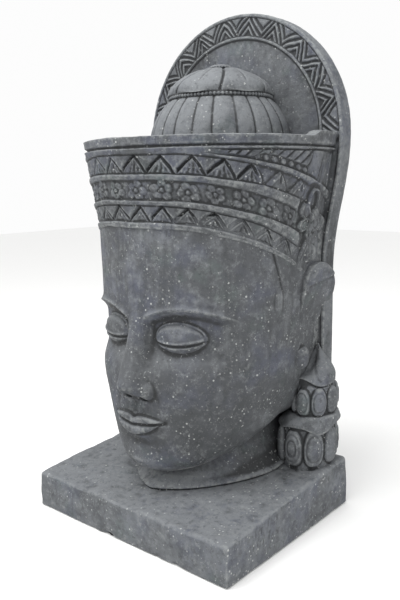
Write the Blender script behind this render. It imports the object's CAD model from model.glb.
"""Looks of the stone head fountain: plinth, head, crown, slab, topknot, ears and earrings.

Metres, +Z up. The head looks along -Y and +X is the viewer's right, as in the packed frame.
"""

import math

import bmesh
import bpy
import numpy as np
from mathutils import Matrix, Vector


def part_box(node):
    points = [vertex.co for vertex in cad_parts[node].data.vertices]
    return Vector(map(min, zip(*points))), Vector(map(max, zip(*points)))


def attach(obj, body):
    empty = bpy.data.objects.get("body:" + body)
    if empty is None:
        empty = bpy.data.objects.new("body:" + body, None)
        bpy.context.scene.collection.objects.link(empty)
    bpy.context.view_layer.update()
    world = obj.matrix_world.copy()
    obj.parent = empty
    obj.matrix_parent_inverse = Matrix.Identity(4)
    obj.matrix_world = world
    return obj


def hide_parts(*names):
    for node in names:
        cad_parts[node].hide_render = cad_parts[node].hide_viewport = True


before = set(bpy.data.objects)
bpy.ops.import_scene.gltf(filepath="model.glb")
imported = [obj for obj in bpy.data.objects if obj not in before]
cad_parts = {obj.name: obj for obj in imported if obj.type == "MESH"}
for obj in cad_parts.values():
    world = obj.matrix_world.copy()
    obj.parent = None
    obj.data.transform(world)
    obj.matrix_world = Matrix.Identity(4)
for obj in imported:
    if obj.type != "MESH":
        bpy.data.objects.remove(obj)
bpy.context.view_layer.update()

bl_info = {
    "name": "Stone Head Fountain",
    "version": (1, 0, 0),
    "blender": (4, 5, 0),
    "location": "View3D > Sidebar > Fountain",
    "description": "Carves the fountain's plinth, head, banded crown, slab, topknot, ears and earrings",
    "category": "Object",
}

NODE = "stone_head_fountain"
BODY = "root"
BOX_LOW, BOX_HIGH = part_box(NODE)


def length(name, description, default):
    """A size that the sidebar shows in the scene's own unit."""
    return bpy.props.FloatProperty(
        name=name, description=description, default=default, min=0.0, unit="LENGTH", precision=4
    )


def degrees(name, description, default):
    """An angle that the sidebar shows in degrees."""
    angle = math.radians(default)
    return bpy.props.FloatProperty(name=name, description=description, default=angle, subtype="ANGLE")


def power(name, description, default):
    """A light's power, which the sidebar shows in watts."""
    return bpy.props.FloatProperty(
        name=name, description=description, default=default, min=0.0, unit="POWER"
    )


def linear(text):
    """Linear colour of an sRGB hex value."""
    channels = [int(text[place:place + 2], 16) / 255.0 for place in (0, 2, 4)]
    return tuple(c / 12.92 if c <= 0.04045 else ((c + 0.055) / 1.055) ** 2.4 for c in channels)


def tone(name, description, hex_value):
    """A colour swatch whose default is an sRGB hex value."""
    colour = linear(hex_value)
    return bpy.props.FloatVectorProperty(
        name=name, description=description, default=colour, subtype="COLOR", size=3, min=0.0, max=1.0
    )


class BlockSizes(bpy.types.PropertyGroup):
    """Plinth and slab."""

    width: length("Plinth width", "Across the plinth", BOX_HIGH.x - BOX_LOW.x)
    depth: length("Plinth depth", "Front to back of the plinth", BOX_HIGH.y - BOX_LOW.y)
    front_height: length("Front height", "Height of the plinth at its front", 0.077)
    rear_height: length("Rear height", "Height of the plinth at its back", 0.108)
    edge: length("Worn edge", "Radius of the plinth's rounded upper edges", 0.007)
    slab_thickness: length("Slab thickness", "Front to back of the slab", 0.039)
    slab_foot: length("Slab foot", "Half the slab's width beside the cheeks", 0.214)
    arch_radius: length("Arch radius", "Radius of the slab's round head", 0.2465)
    arch_height: length("Arch height", "Height of the round head's centre", BOX_HIGH.z - 0.2465)
    widen_height: length("Widening", "Height at which the slab starts to widen", 0.50)
    rim: length("Rim", "Width of the raised outer rim", 0.0075)
    band: length("Zigzag band", "Width of the carved zigzag band", 0.036)
    ring: length("Inner ring", "Width of the raised ring inside the zigzags", 0.006)
    relief: length("Zigzag relief", "How far the zigzag lines stand out", 0.0040)


class HeadSizes(bpy.types.PropertyGroup):
    """Head and neck."""

    face_height: length("Face height", "Chin to hairline, three equal thirds", 0.471)
    half_width: length("Half width", "Half the width of the head", 0.214)
    depth: length("Depth", "Ear line to the front of the forehead", 0.2185)
    chin_gap: length("Chin gap", "Chin above the plinth's front edge", 0.043)
    jaw_rise: length("Jaw rise", "How far the jaw climbs from chin to ear", 0.085)
    jaw_round: length("Jaw rounding", "Height of the rounding under the jaw", 0.036)
    jaw_tuck: length("Jaw tuck", "How far the jaw is drawn in below", 0.028)
    neck: length("Neck", "Radius of the neck", 0.126)
    foot_width: length("Neck foot width", "Half the width of the neck's foot", 0.166)
    foot_depth: length("Neck foot depth", "Ear line to the front of the neck's foot", 0.196)


class CrownSizes(bpy.types.PropertyGroup):
    """Banded crown with its basin."""

    top_radius: length("Rim radius", "Radius of the crown at its rim", 0.2445)
    foot_radius: length("Foot radius", "Radius of the crown at its lower edge", 0.2205)
    top_height: length("Rim height", "Height of the rim", 0.747)
    foot_height: length("Foot height", "Height of the lower edge in front", 0.587)
    axis_gap: length("Axis gap", "From the slab's front to the crown's axis", 0.093)
    wall: length("Basin wall", "Thickness of the basin's wall", 0.024)
    basin: length("Basin depth", "Depth of the basin below the rim", 0.055)
    step: length("Rim step", "How far the rim steps up beside the slab", 0.010)
    fillet: length("Fillet relief", "How far the plain fillets stand out", 0.0052)
    relief: length("Carving relief", "How far the carving stands out", 0.0042)
    upper_pitch: degrees("Upper pitch", "One pair of triangles of the upper band", 12.8)
    flower_pitch: degrees("Flower pitch", "One flower", 12.2)
    lower_pitch: degrees("Lower pitch", "One pair of triangles of the lower band", 12.0)


class KnotSizes(bpy.types.PropertyGroup):
    """Ribbed topknot."""

    radius: length("Radius", "Radius of the ribbed dome", 0.146)
    ring_radius: length("Ring radius", "Radius of the beaded ring", 0.1035)
    ring_height: length("Ring height", "Height of the beaded ring", 0.831)
    top_height: length("Top height", "Height of the topmost boss", 0.897)
    slab_gap: length("Slab gap", "From the slab's front to the dome's axis", 0.052)
    groove: length("Rib groove", "Depth of the grooves between the ribs", 0.005)
    ribs: bpy.props.IntProperty(name="Ribs", description="Ribs all round the dome", default=22, min=3)
    petals: bpy.props.IntProperty(name="Petals", description="Petals all round the cap", default=6, min=3)


class EarSizes(bpy.types.PropertyGroup):
    """Ears and drop earrings."""

    top_height: length("Ear top", "Height of the ear's top", 0.512)
    half_height: length("Half height", "Half the height of the ear's round top", 0.057)
    half_depth: length("Half depth", "Half the depth of the ear's round top", 0.058)
    out_top: length("Out at top", "The ear's outer face, from the middle, at its top", 0.229)
    out_lobe: length("Out at lobe", "The ear's outer face, from the middle, at its lobe", 0.207)
    cap: length("Rolled cap", "Width of the rolled cap round the ear's top", 0.021)
    lobe_height: length("Lobe height", "Height of the lobe's centre", 0.325)
    lobe_radius: length("Lobe radius", "Radius of the lobe", 0.021)
    foot: length("Foot height", "Height at which the drops start", 0.104)
    drop_width: length("Drop width", "Half the width of the tier of drops", 0.060)
    drop_depth: length("Drop depth", "Half the tier of drops from front to back", 0.0725)
    drop_height: length("Drop height", "Height of the tier of drops", 0.078)
    collar: length("Collar", "Height of the draped collar", 0.026)
    bead_width: length("Bead width", "Half the width of the tier of beads", 0.046)
    bead_depth: length("Bead depth", "Half the tier of beads from front to back", 0.059)
    bead_height: length("Bead height", "Height of the tier of beads", 0.058)
    hood_width: length("Hood width", "Half the width of the pointed hood", 0.038)
    hood_depth: length("Hood depth", "Half the pointed hood from front to back", 0.045)
    hood_height: length("Hood height", "Height of the pointed hood", 0.081)


class StoneTones(bpy.types.PropertyGroup):
    """Colours of the weathered stone."""

    body: tone("Stone", "The grey of the stone", "494b4e")
    pale: tone("Dry stone", "Paler, drier stone and dust", "717477")
    violet: tone("Cool patches", "Bluish patches of the stone", "4b4f5f")
    lichen: tone("Green film", "Thin green film in damp places", "4f5b57")
    damp: tone("Damp streaks", "Dark water streaks", "3b3d3f")
    hollow: tone("Hollows", "Dirt in the cut hollows", "272829")
    worn: tone("Worn edges", "Pale rubbed edges", "868989")
    grit: tone("Grit", "White mineral grains", "b0b2b0")


class StudioSettings(bpy.types.PropertyGroup):
    """Floor, light and camera."""

    floor_size: length("Floor size", "Side of the floor", 14.0)
    floor_tone: tone("Floor", "Pale studio floor", "f4f4f3")
    sky: bpy.props.FloatProperty(name="Sky", description="Strength of the even light", default=0.98, min=0.0)
    key: power("Overhead light", "Power of the overhead light", 46.0)
    side: power("Side light", "Power of the side light", 22.0)
    low: power("Low light", "Power of the low light beside the earring", 7.0)
    lens: bpy.props.FloatProperty(
        name="Lens", description="Focal length", default=41.3, min=1.0, unit="CAMERA"
    )


GROUPS = {
    "fountain_block": BlockSizes,
    "fountain_head": HeadSizes,
    "fountain_crown": CrownSizes,
    "fountain_knot": KnotSizes,
    "fountain_ears": EarSizes,
    "fountain_tones": StoneTones,
    "fountain_studio": StudioSettings,
}

# How far hidden ends run into the stone that carries them.
EMBED = 0.022

# How far the slab's back stands in from the plinth's.
SLAB_REAR_INSET = 0.007

# How far before the slab's front the ear's round top, its lobe and the earring are centred.
EAR_TOP_AHEAD = 0.020
LOBE_AHEAD = 0.064
EARRING_AHEAD = 0.011

# How far out from the middle the earring's drops, beads and hood are centred.
DROP_OUT = 0.1885
BEAD_OUT = 0.2025
HOOD_OUT = 0.2035

# How the earring's standing drops and beads are cut, in turn.
DROP_PLAN = ("rings", "panel", "plain")
BEAD_PLAN = ("panel", "panel", "plain")

# Zigzags in a half circle, beads round an earring, and beads of the topknot's two ropes.
ZIGZAGS = 11
EARRING_BEADS = 8
ROPE_BEADS = 84
TOP_ROPE_BEADS = 26


# Shaping functions

def ease(low, high, value):
    """Zero below low, one above high and smooth between them."""
    share = np.clip((value - low) / (high - low), 0.0, 1.0)
    return share * share * (3.0 - 2.0 * share)


def swell(offset, width):
    """A round bump of height one, width wide on each side."""
    return np.exp(-((offset / width) ** 2))


def strip(value, low, high, soft):
    """One between low and high, zero outside, with soft sides."""
    return ease(low - soft, low + soft, value) * (1.0 - ease(high - soft, high + soft, value))


def dome(across, up):
    """A rounded cap of height one over the unit circle, zero outside it."""
    return np.clip(1.0 - across**2 - up**2, 0.0, 1.0)


def lumps(points, size, seed):
    """Smooth lumps between -1 and 1, size metres across, the same on each run."""
    lattice = np.random.default_rng(seed).uniform(-1.0, 1.0, (32, 32, 32))
    place = np.asarray(points, float) / size + 500.0
    cell = np.floor(place).astype(int)
    share = place - cell
    share = share * share * (3.0 - 2.0 * share)
    total = np.zeros(place.shape[:-1])
    for corner in np.ndindex(2, 2, 2):
        weight = np.prod(np.where(corner, share, 1.0 - share), axis=-1)
        x, y, z = np.moveaxis((cell + corner) % 32, -1, 0)
        total += weight * lattice[x, y, z]
    return total


def wander(turn, line, amount, size=0.16):
    """How far a hand-cut line strays, as it runs round the stone."""
    points = np.stack([turn, np.full_like(turn, 1.7 * line), np.zeros_like(turn)], axis=-1)
    return amount * lumps(points, size, 5)


def spaced(*runs):
    """Row places from runs of (first place, last place, steps), each without its last place."""
    rows = [np.linspace(low, high, steps, endpoint=False) for low, high, steps in runs]
    return np.concatenate(rows + [[runs[-1][1]]])


def capsule(across, up, start, end):
    """Distance to the straight stroke from start to end."""
    line = np.subtract(end, start)
    share = ((across - start[0]) * line[0] + (up - start[1]) * line[1]) / (line @ line)
    share = np.clip(share, 0.0, 1.0)
    return np.hypot(across - start[0] - share * line[0], up - start[1] - share * line[1])


# Places that several pieces share

def plinth_top(y):
    """Height of the plinth's top, which rises towards the back."""
    block = bpy.context.scene.fountain_block
    share = (y + block.depth / 2) / block.depth
    return block.front_height + (block.rear_height - block.front_height) * share


def slab_front():
    block = bpy.context.scene.fountain_block
    return block.depth / 2 - SLAB_REAR_INSET - block.slab_thickness


def axis_y():
    return slab_front() - bpy.context.scene.fountain_crown.axis_gap


def hidden_y():
    """Where a form that runs into the slab may end."""
    return slab_front() + EMBED


# Meshes

def tube(rings, closed_ends=True):
    """A bmesh of quads on rings of points, an array of rows, columns and places.

    It starts as a cylinder, cut into rows, and each point is then moved to its ring.
    """
    rows, columns = rings.shape[:2]
    bm = bmesh.new()
    bmesh.ops.create_cone(bm, cap_ends=closed_ends, segments=columns, radius1=1.0, radius2=1.0, depth=1.0)
    upright = [edge for edge in bm.edges if abs(edge.verts[0].co.z - edge.verts[1].co.z) > 0.5]
    bmesh.ops.subdivide_edges(bm, edges=upright, cuts=rows - 2, use_grid_fill=True)
    mesh = bpy.data.meshes.new("tube")
    bm.to_mesh(mesh)
    places = read_places(mesh)
    column = np.rint(np.arctan2(places[:, 0], -places[:, 1]) / (2 * np.pi) * columns).astype(int) % columns
    row = np.rint((places[:, 2] + 0.5) * (rows - 1)).astype(int)
    write_places(mesh, rings[row, column])
    bm.clear()
    bm.from_mesh(mesh)
    bpy.data.meshes.remove(mesh)
    return bm


def column_turns(columns):
    """Share of the way round from the front, from -1 to 1, for each column of a tube."""
    step = np.arange(columns)
    signed = np.where(step < columns // 2, step, step - columns) + 0.5
    return signed / (columns / 2)


def read_places(mesh, field="co"):
    places = np.empty(len(mesh.vertices) * 3, np.float32)
    mesh.vertices.foreach_get(field, places)
    return places.reshape(-1, 3).astype(float)


def write_places(mesh, places):
    mesh.vertices.foreach_set("co", places.astype(np.float32).ravel())
    mesh.update()


def roughen(mesh, layers):
    """Moves the surface in by layers of lumps, each of a size, a depth and a seed."""
    places = read_places(mesh)
    normals = read_places(mesh, "normal")
    sunk = np.zeros(len(places))
    for size, depth, seed in layers:
        sunk += depth * (0.5 + 0.5 * lumps(places, size, seed))
    places -= normals * sunk[:, None]
    write_places(mesh, np.clip(places, BOX_LOW, BOX_HIGH))


def mark_wear(mesh, passes=14, full=0.0013):
    """Writes the attribute worn: above zero where the stone stands proud, below zero in cuts."""
    places = read_places(mesh)
    normals = read_places(mesh, "normal")
    ends = np.empty(len(mesh.edges) * 2, np.int32)
    mesh.edges.foreach_get("vertices", ends)
    first, second = ends[0::2], ends[1::2]
    count = len(places)
    links = np.bincount(first, minlength=count) + np.bincount(second, minlength=count)
    smooth = places.copy()
    for _ in range(passes):
        for axis in range(3):
            near = np.bincount(first, smooth[second, axis], count)
            near += np.bincount(second, smooth[first, axis], count)
            smooth[:, axis] = 0.4 * smooth[:, axis] + 0.6 * near / links
    proud = ((places - smooth) * normals).sum(axis=1) / full
    layer = mesh.attributes.new("worn", "FLOAT", "POINT")
    layer.data.foreach_set("value", np.clip(proud, -1.0, 1.0).astype(np.float32))


def finish_piece(name, bm, material, layers=(), merge=False):
    """Closes a bmesh's seams, roughens it, marks its wear and hands it to the frame as one piece."""
    if merge:
        bmesh.ops.remove_doubles(bm, verts=bm.verts, dist=1e-6)
    bmesh.ops.recalc_face_normals(bm, faces=bm.faces)
    mesh = bpy.data.meshes.new(name)
    bm.to_mesh(mesh)
    bm.free()
    if not len(mesh.polygons):
        raise RuntimeError(f"{name} came out empty")
    mesh.shade_smooth()
    roughen(mesh, layers)
    mark_wear(mesh)
    mesh.materials.append(material)
    piece = bpy.data.objects.new(name, mesh)
    bpy.context.scene.collection.objects.link(piece)
    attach(piece, BODY)
    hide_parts(NODE)
    return piece


# Materials

def add_node(tree, kind, settings=None, links=None):
    """Adds a node; links gives each input either a value or another node's output."""
    node = tree.nodes.new(kind)
    for key, value in (settings or {}).items():
        setattr(node, key, value)
    for key, value in (links or {}).items():
        if isinstance(value, bpy.types.NodeSocket):
            tree.links.new(value, node.inputs[key])
        else:
            node.inputs[key].default_value = value
    return node


def weathered_stone(name, streaks, bareness, splashed, dust, roughness):
    """Grey volcanic stone, carved, rubbed and left outdoors.

    Cool and greenish patches, water streaks, dirt in the cuts, dust on what faces up, pale rubbed edges,
    white grit and open pores.
    """
    found = bpy.data.materials.get(name)
    if found:
        return found
    tones = bpy.context.scene.fountain_tones
    material = bpy.data.materials.new(name)
    material.use_nodes = True
    tree = material.node_tree
    shader = tree.nodes["Principled BSDF"]
    places = add_node(tree, "ShaderNodeTexCoord").outputs["Object"]

    def noise(size, detail=3.0, rough=0.55, vector=places):
        """Noise whose patches are about size metres across."""
        inputs = {"Vector": vector, "Scale": 1.0 / size, "Detail": detail, "Roughness": rough}
        return add_node(tree, "ShaderNodeTexNoise", links=inputs).outputs["Fac"]

    def ramp(value, low, high, top=1.0):
        inputs = {"Value": value, "From Min": low, "From Max": high, "To Min": 0.0, "To Max": top}
        settings = {"interpolation_type": "SMOOTHSTEP"}
        return add_node(tree, "ShaderNodeMapRange", settings, inputs).outputs["Result"]

    def times(first, second):
        return add_node(tree, "ShaderNodeMath", {"operation": "MULTIPLY"}, {0: first, 1: second}).outputs[0]

    def mix(share, below, above):
        node = add_node(tree, "ShaderNodeMix", {"data_type": "RGBA"}, {"Factor": share})
        for socket, value in (("A", below), ("B", above)):
            target = next(s for s in node.inputs if s.name == socket and s.type == "RGBA")
            if isinstance(value, bpy.types.NodeSocket):
                tree.links.new(value, target)
            else:
                target.default_value = (*value, 1.0)
        return next(s for s in node.outputs if s.type == "RGBA")

    worn = add_node(tree, "ShaderNodeAttribute", {"attribute_name": "worn"}).outputs["Fac"]
    stretch = {"Vector": places, "Scale": (1.0, 1.0, 0.16)}
    tall = add_node(tree, "ShaderNodeMapping", links=stretch).outputs["Vector"]

    # Patches from 130 mm down to 26 mm wide, then streaks 22 mm wide that run down the stone.
    colour = mix(ramp(noise(0.13), 0.44, 0.62, 0.60), tones.body, tones.violet)
    colour = mix(ramp(noise(0.060, 4.0), 0.54, 0.70, 0.45), colour, tones.lichen)
    colour = mix(ramp(noise(0.085, 6.0, 0.68), 0.50, 0.66, 0.50), colour, tones.pale)
    colour = mix(ramp(noise(0.026, 6.0, 0.72), 0.46, 0.64, 0.38), colour, tones.pale)
    colour = mix(ramp(noise(0.031, 6.0, 0.72), 0.48, 0.64, 0.40), colour, tones.damp)
    colour = mix(ramp(noise(0.022, 4.0, 0.6, tall), 0.44, 0.68, streaks), colour, tones.damp)
    # Splashed water keeps the lower part of the face dark, above the neck, and dust settles on what
    # faces up.
    height = add_node(tree, "ShaderNodeSeparateXYZ", links={"Vector": places}).outputs["Z"]
    low_face = times(ramp(height, 0.46, 0.20), ramp(height, 0.15, 0.19))
    colour = mix(times(low_face, ramp(noise(0.05, 5.0, 0.65), 0.28, 0.60, splashed)), colour, tones.damp)
    facing = add_node(tree, "ShaderNodeTexCoord").outputs["Normal"]
    rise = add_node(tree, "ShaderNodeSeparateXYZ", links={"Vector": facing}).outputs["Z"]
    settled = times(ramp(rise, 0.15, 0.85), ramp(noise(0.04, 6.0, 0.7), 0.30, 0.52))
    colour = mix(times(settled, 0.85), colour, tones.pale)
    colour = mix(ramp(noise(0.05, 5.0, 0.65), 0.30, 0.60, dust), colour, tones.pale)
    colour = mix(ramp(noise(0.009, 6.0, 0.75), 0.50, 0.70, 0.50), colour, tones.hollow)
    colour = mix(ramp(noise(0.013, 6.0, 0.80), 0.52, 0.70, bareness), colour, tones.worn)
    # Dirt lies in the cuts, and hands and weather rub the edges pale.
    colour = mix(ramp(worn, 0.05, -0.70, 0.88), colour, tones.hollow)
    rubbed = times(ramp(worn, 0.15, 0.90, 0.62), ramp(noise(0.010, 4.0, 0.7), 0.38, 0.62))
    colour = mix(rubbed, colour, tones.worn)
    # White grains up to about 3 mm across, one in a cell of 6.2 mm and each of its own size, and
    # torn flecks, in loose clusters.
    scatter = {"Vector": places, "Scale": 1.0 / 0.0062, "Randomness": 1.0}
    cells = add_node(tree, "ShaderNodeTexVoronoi", links=scatter)
    split = add_node(tree, "ShaderNodeSeparateColor", links={"Color": cells.outputs["Color"]})
    sizes = {0: split.outputs["Red"], 1: 0.95, 2: cells.outputs["Distance"]}
    far = add_node(tree, "ShaderNodeMath", {"operation": "MULTIPLY_ADD"}, sizes)
    cluster = ramp(noise(0.045, 3.0), 0.38, 0.60)
    colour = mix(times(times(ramp(far.outputs[0], 0.42, 0.20), cluster), 0.75), colour, tones.grit)
    colour = mix(times(ramp(noise(0.0048, 3.0, 0.6), 0.60, 0.70), times(cluster, 0.60)), colour, tones.worn)
    tree.links.new(colour, shader.inputs["Base Color"])

    pores = ramp(noise(0.0022, 2.0, 0.5), 0.30, 0.46)
    grain = {"Height": noise(0.0045, 4.0, 0.7), "Distance": 0.0014, "Strength": 0.7}
    tooth = add_node(tree, "ShaderNodeBump", links=grain).outputs["Normal"]
    pits = {"Height": pores, "Distance": 0.0007, "Strength": 0.55, "Normal": tooth}
    pitted = add_node(tree, "ShaderNodeBump", links=pits)
    tree.links.new(pitted.outputs["Normal"], shader.inputs["Normal"])
    dull = {"Value": noise(0.03), "To Min": roughness - 0.08, "To Max": roughness + 0.08}
    sheen = add_node(tree, "ShaderNodeMapRange", links=dull).outputs["Result"]
    tree.links.new(sheen, shader.inputs["Roughness"])
    shader.inputs["IOR"].default_value = 1.5
    shader.inputs["Specular IOR Level"].default_value = 0.35
    return material


def rubbed_stone():
    """Andesite rubbed smooth with abrasive stones: close grain, long streaks and a faint sheen."""
    return weathered_stone("andesite_rubbed", 0.62, 0.34, 0.85, 0.0, 0.72)


def dry_stone():
    """The same andesite where rain dries first: paler and dusty."""
    return weathered_stone("andesite_dry", 0.40, 0.30, 0.0, 0.85, 0.80)


def chiselled_stone():
    """Andesite left from the chisel: open grain, pale bruises and a dead matt face."""
    return weathered_stone("andesite_chiselled", 0.34, 0.46, 0.0, 0.42, 0.86)


def plain_floor():
    """Painted studio floor: matt, with the faintest mottling."""
    material = bpy.data.materials.new("painted_floor_matt")
    material.use_nodes = True
    tree = material.node_tree
    pale = bpy.context.scene.fountain_studio.floor_tone
    places = add_node(tree, "ShaderNodeTexCoord").outputs["Object"]
    cloud = add_node(tree, "ShaderNodeTexNoise", links={"Vector": places, "Scale": 0.8}).outputs["Fac"]
    node = add_node(tree, "ShaderNodeMix", {"data_type": "RGBA"}, {"Factor": cloud})
    sockets = [s for s in node.inputs if s.type == "RGBA"]
    sockets[0].default_value = (*pale, 1.0)
    sockets[1].default_value = (*(0.985 * c for c in pale), 1.0)
    shader = tree.nodes["Principled BSDF"]
    tree.links.new(next(s for s in node.outputs if s.type == "RGBA"), shader.inputs["Base Color"])
    shader.inputs["Roughness"].default_value = 0.9
    return material


# Plinth

def stroke_rows(y, z):
    """Depth of two rows of short parallel strokes that spell nothing."""
    depth = np.zeros_like(y)
    pitch = 0.0092
    for row, (first, low, high, count) in enumerate(((-0.122, 0.060, 0.076, 9), (-0.117, 0.036, 0.051, 8))):
        for index in range(count):
            middle = first + pitch * index + 0.0012 * math.sin(2.3 * index + row)
            foot = low + 0.003 * math.sin(1.7 * index + 2.0 * row)
            top = high + 0.003 * math.cos(2.9 * index + row)
            stroke = capsule(y, z, (middle, foot), (middle + 0.0035, top))
            depth = np.maximum(depth, swell(stroke, 0.0019) * (0.7 + 0.3 * math.sin(3.7 * index)))
    return depth


def plinth_places(places):
    """Moves the points of a unit cube's skin to the worn block."""
    block = bpy.context.scene.fountain_block
    crowd = 0.3
    spread = (1.0 - crowd) * 2.0 * places + crowd * np.sin(np.pi * places)
    half = np.array([block.width / 2, block.depth / 2, 0.5])
    at = spread * half
    top = plinth_top(at[:, 1])
    low_edge = 0.0035
    rear_corner = swell(at[:, 0] - half[0], 0.05) * swell(at[:, 1] - half[1], 0.05)
    radius = block.edge * (1.0 + 0.35 * lumps(at * [1, 1, 0], 0.05, 21)) + 0.005 * rear_corner
    radius = low_edge + (radius - low_edge) * ease(-0.3, 0.9, spread[:, 2])
    up = (spread[:, 2] * 0.5 + 0.5) * top
    at[:, 2] = up
    high = np.stack([half[0] - radius, half[1] - radius, top - radius], axis=1)
    low = np.stack([-half[0] + radius, -half[1] + radius, np.zeros_like(top) + radius], axis=1)
    core = np.clip(at, low, high)
    out = at - core
    reach = np.linalg.norm(out, axis=1)
    at = core + out * (radius / np.maximum(reach, 1e-9))[:, None]
    side = ease(0.0, 0.03, at[:, 2])
    bruise = np.clip(lumps(at, 0.022, 31) - 0.25, 0.0, 1.0) * (1.0 - side) * 0.006
    centre = at * [1, 1, 0]
    centre /= np.maximum(np.linalg.norm(centre, axis=1), 1e-9)[:, None]
    at -= centre * bruise[:, None]
    chip = dome((at[:, 0] + 0.035) / 0.011, at[:, 2] / 0.008) * (at[:, 1] < -half[1] + 0.004)
    at[:, 1] += 0.005 * chip
    face = (at[:, 0] > half[0] - 0.004)
    at[:, 0] -= 0.0010 * stroke_rows(at[:, 1], at[:, 2]) * face
    top_face = ease(0.0, 0.012, at[:, 2] - top + 0.012)
    rough = 0.0022 + 0.0018 * lumps(at, 0.070, 41)
    rough += 0.0010 * lumps(at, 0.026, 42) + 0.0006 * lumps(at, 0.011, 43)
    at[:, 2] -= top_face * rough
    return at


def carve_plinth():
    bm = bmesh.new()
    bmesh.ops.create_cube(bm, size=1.0)
    for axis, cuts in ((0, 180), (1, 148), (2, 36)):
        edges = [edge for edge in bm.edges if abs(edge.verts[0].co[axis] - edge.verts[1].co[axis]) > 0.5]
        bmesh.ops.subdivide_edges(bm, edges=edges, cuts=cuts, use_grid_fill=True)
    mesh = bpy.data.meshes.new("block")
    bm.to_mesh(mesh)
    write_places(mesh, plinth_places(read_places(mesh)))
    bm.clear()
    bm.from_mesh(mesh)
    bpy.data.meshes.remove(mesh)
    return finish_piece("plinth", bm, chiselled_stone(), [(0.07, 0.0012, 51), (0.009, 0.0006, 52)])


# Head and neck

def superellipse(angles, half_width, depth, squareness):
    """Distance from the axis to an oval of this half width and depth, at angles from the front."""
    across = (np.abs(np.sin(angles)) / half_width) ** squareness
    along = (np.abs(np.cos(angles)) / depth) ** squareness
    return (across + along) ** (-1.0 / squareness)


def brows(u, v):
    """Long arched brows over hollow sockets."""
    line = 1.895 + 0.175 * np.sin(np.pi * np.clip((u - 0.12) / 2.0, 0.0, 1.0)) ** 0.8
    window = ease(0.16, 0.40, u) * (1.0 - ease(1.70, 2.10, u))
    above = v - line
    ridge = 0.045 * swell(above, 0.055) + 0.020 * swell(above, 0.016)
    hollow = (1.0 - ease(-0.125, 0.0, above)) * ease(1.25, 1.66, v)
    return window * (ridge - (0.205 - 0.06 * ease(0.7, 1.7, u)) * hollow)


def eyes(u, v):
    """Lowered lids with a fine rim over full eyeballs, a thin slit and a lower lid."""
    ball = 0.195 * dome((u - 1.0) / 0.575, (v - 1.725) / 0.185) ** 0.55
    along = np.clip((u - 1.0) / 0.52, -1.0, 1.0)
    bow = 1.0 - along**2
    slit = 1.672 - 0.038 * bow + 0.018 * along
    window = ease(0.44, 0.54, u) * (1.0 - ease(1.46, 1.60, u))
    upper_rim = 0.030 * swell(v - slit - 0.030, 0.019)
    lower_rim = 0.024 * swell(v - slit + 0.030, 0.018)
    cut = 0.050 * swell(v - slit, 0.013)
    fold = 0.034 * swell(v - 1.722 - 0.160 * np.sqrt(bow), 0.017)
    return ball + window * (upper_rim + lower_rim - cut - fold)


def nose(u, v):
    """A straight bridge, a rounded tip, two soft wings and their openings."""
    rise = np.clip(1.0 - (v - 1.15) / 0.73, 0.0, 1.0)
    profile = 0.12 * (1.0 - ease(1.86, 2.08, v)) + 0.42 * rise**1.15
    profile = np.where(v < 1.15, 0.54 * ease(0.955, 1.15, v) ** 0.7, profile)
    width = 0.19 + 0.13 * (1.0 - ease(1.20, 1.80, v))
    bridge = profile / (1.0 + (u / width) ** 3.0)
    wing = 0.27 * dome((u - 0.33) / 0.21, (v - 1.095) / 0.135) ** 0.75
    blend = 0.5 * (bridge + wing + np.sqrt((bridge - wing) ** 2 + 0.0090)) - 0.0474
    opening = 0.11 * dome((u - 0.235) / 0.11, (v - 0.975) / 0.040)
    return blend - opening


def mouth(u, v):
    """Closed full lips on a soft swelling of the jaw, with a parting and raised borders."""
    line = 0.665 + 0.040 * (u / 0.72) ** 2 - 0.010 * swell(u, 0.12)
    reach = np.clip(1.0 - (u / 0.72) ** 2, 0.0, 1.0)
    lower_reach = np.clip(1.0 - (u / 0.62) ** 2, 0.0, 1.0)
    dip = 1.0 - 0.22 * swell(u, 0.085)
    upper = (v - line) / (0.108 * dip * reach**0.75 + 0.001)
    lower = (line - v) / (0.130 * lower_reach**0.8 + 0.001)
    inside_upper = ease(1.10, 0.92, upper) * (upper > 0)
    inside_lower = ease(1.10, 0.90, lower) * (lower > 0)
    upper_lip = inside_upper * (0.45 + 0.55 * np.sin(np.pi * np.clip(0.12 + 0.70 * upper, 0.0, 1.0)))
    lower_lip = inside_lower * (0.40 + 0.60 * np.sin(np.pi * np.clip(0.10 + 0.75 * lower, 0.0, 1.0)))
    muzzle = 0.095 * swell(u, 0.87) * swell(v - 0.70, 0.29)
    parting = 0.060 * swell(v - line, 0.016) * (1.0 - ease(0.64, 0.78, u))
    corner = 0.035 * swell(u - 0.74, 0.075) * swell(v - 0.705, 0.05)
    lips = 0.105 * upper_lip * reach**0.5 + 0.145 * lower_lip * lower_reach**0.5
    philtrum = strip(v, 0.795, 0.93, 0.02) * (0.022 * swell(u - 0.135, 0.05) - 0.026 * swell(u, 0.075))
    return muzzle + lips - parting - corner + philtrum


def chin_and_cheeks(u, v):
    """Round chin, the hollow under the lip, full cheeks and the fold beside the nose."""
    chin = 0.115 * swell(u, 0.50) * swell(v - 0.19, 0.16)
    under_lip = 0.070 * swell(u, 0.50) * swell(v - 0.43, 0.080)
    cheeks = 0.08 * swell(u - 1.28, 0.60) * swell(v - 1.24, 0.36)
    fold = 0.020 * swell(u - 0.56 - 0.20 * (1.05 - v), 0.07) * strip(v, 0.80, 1.06, 0.08)
    return chin + cheeks - under_lip - fold


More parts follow.
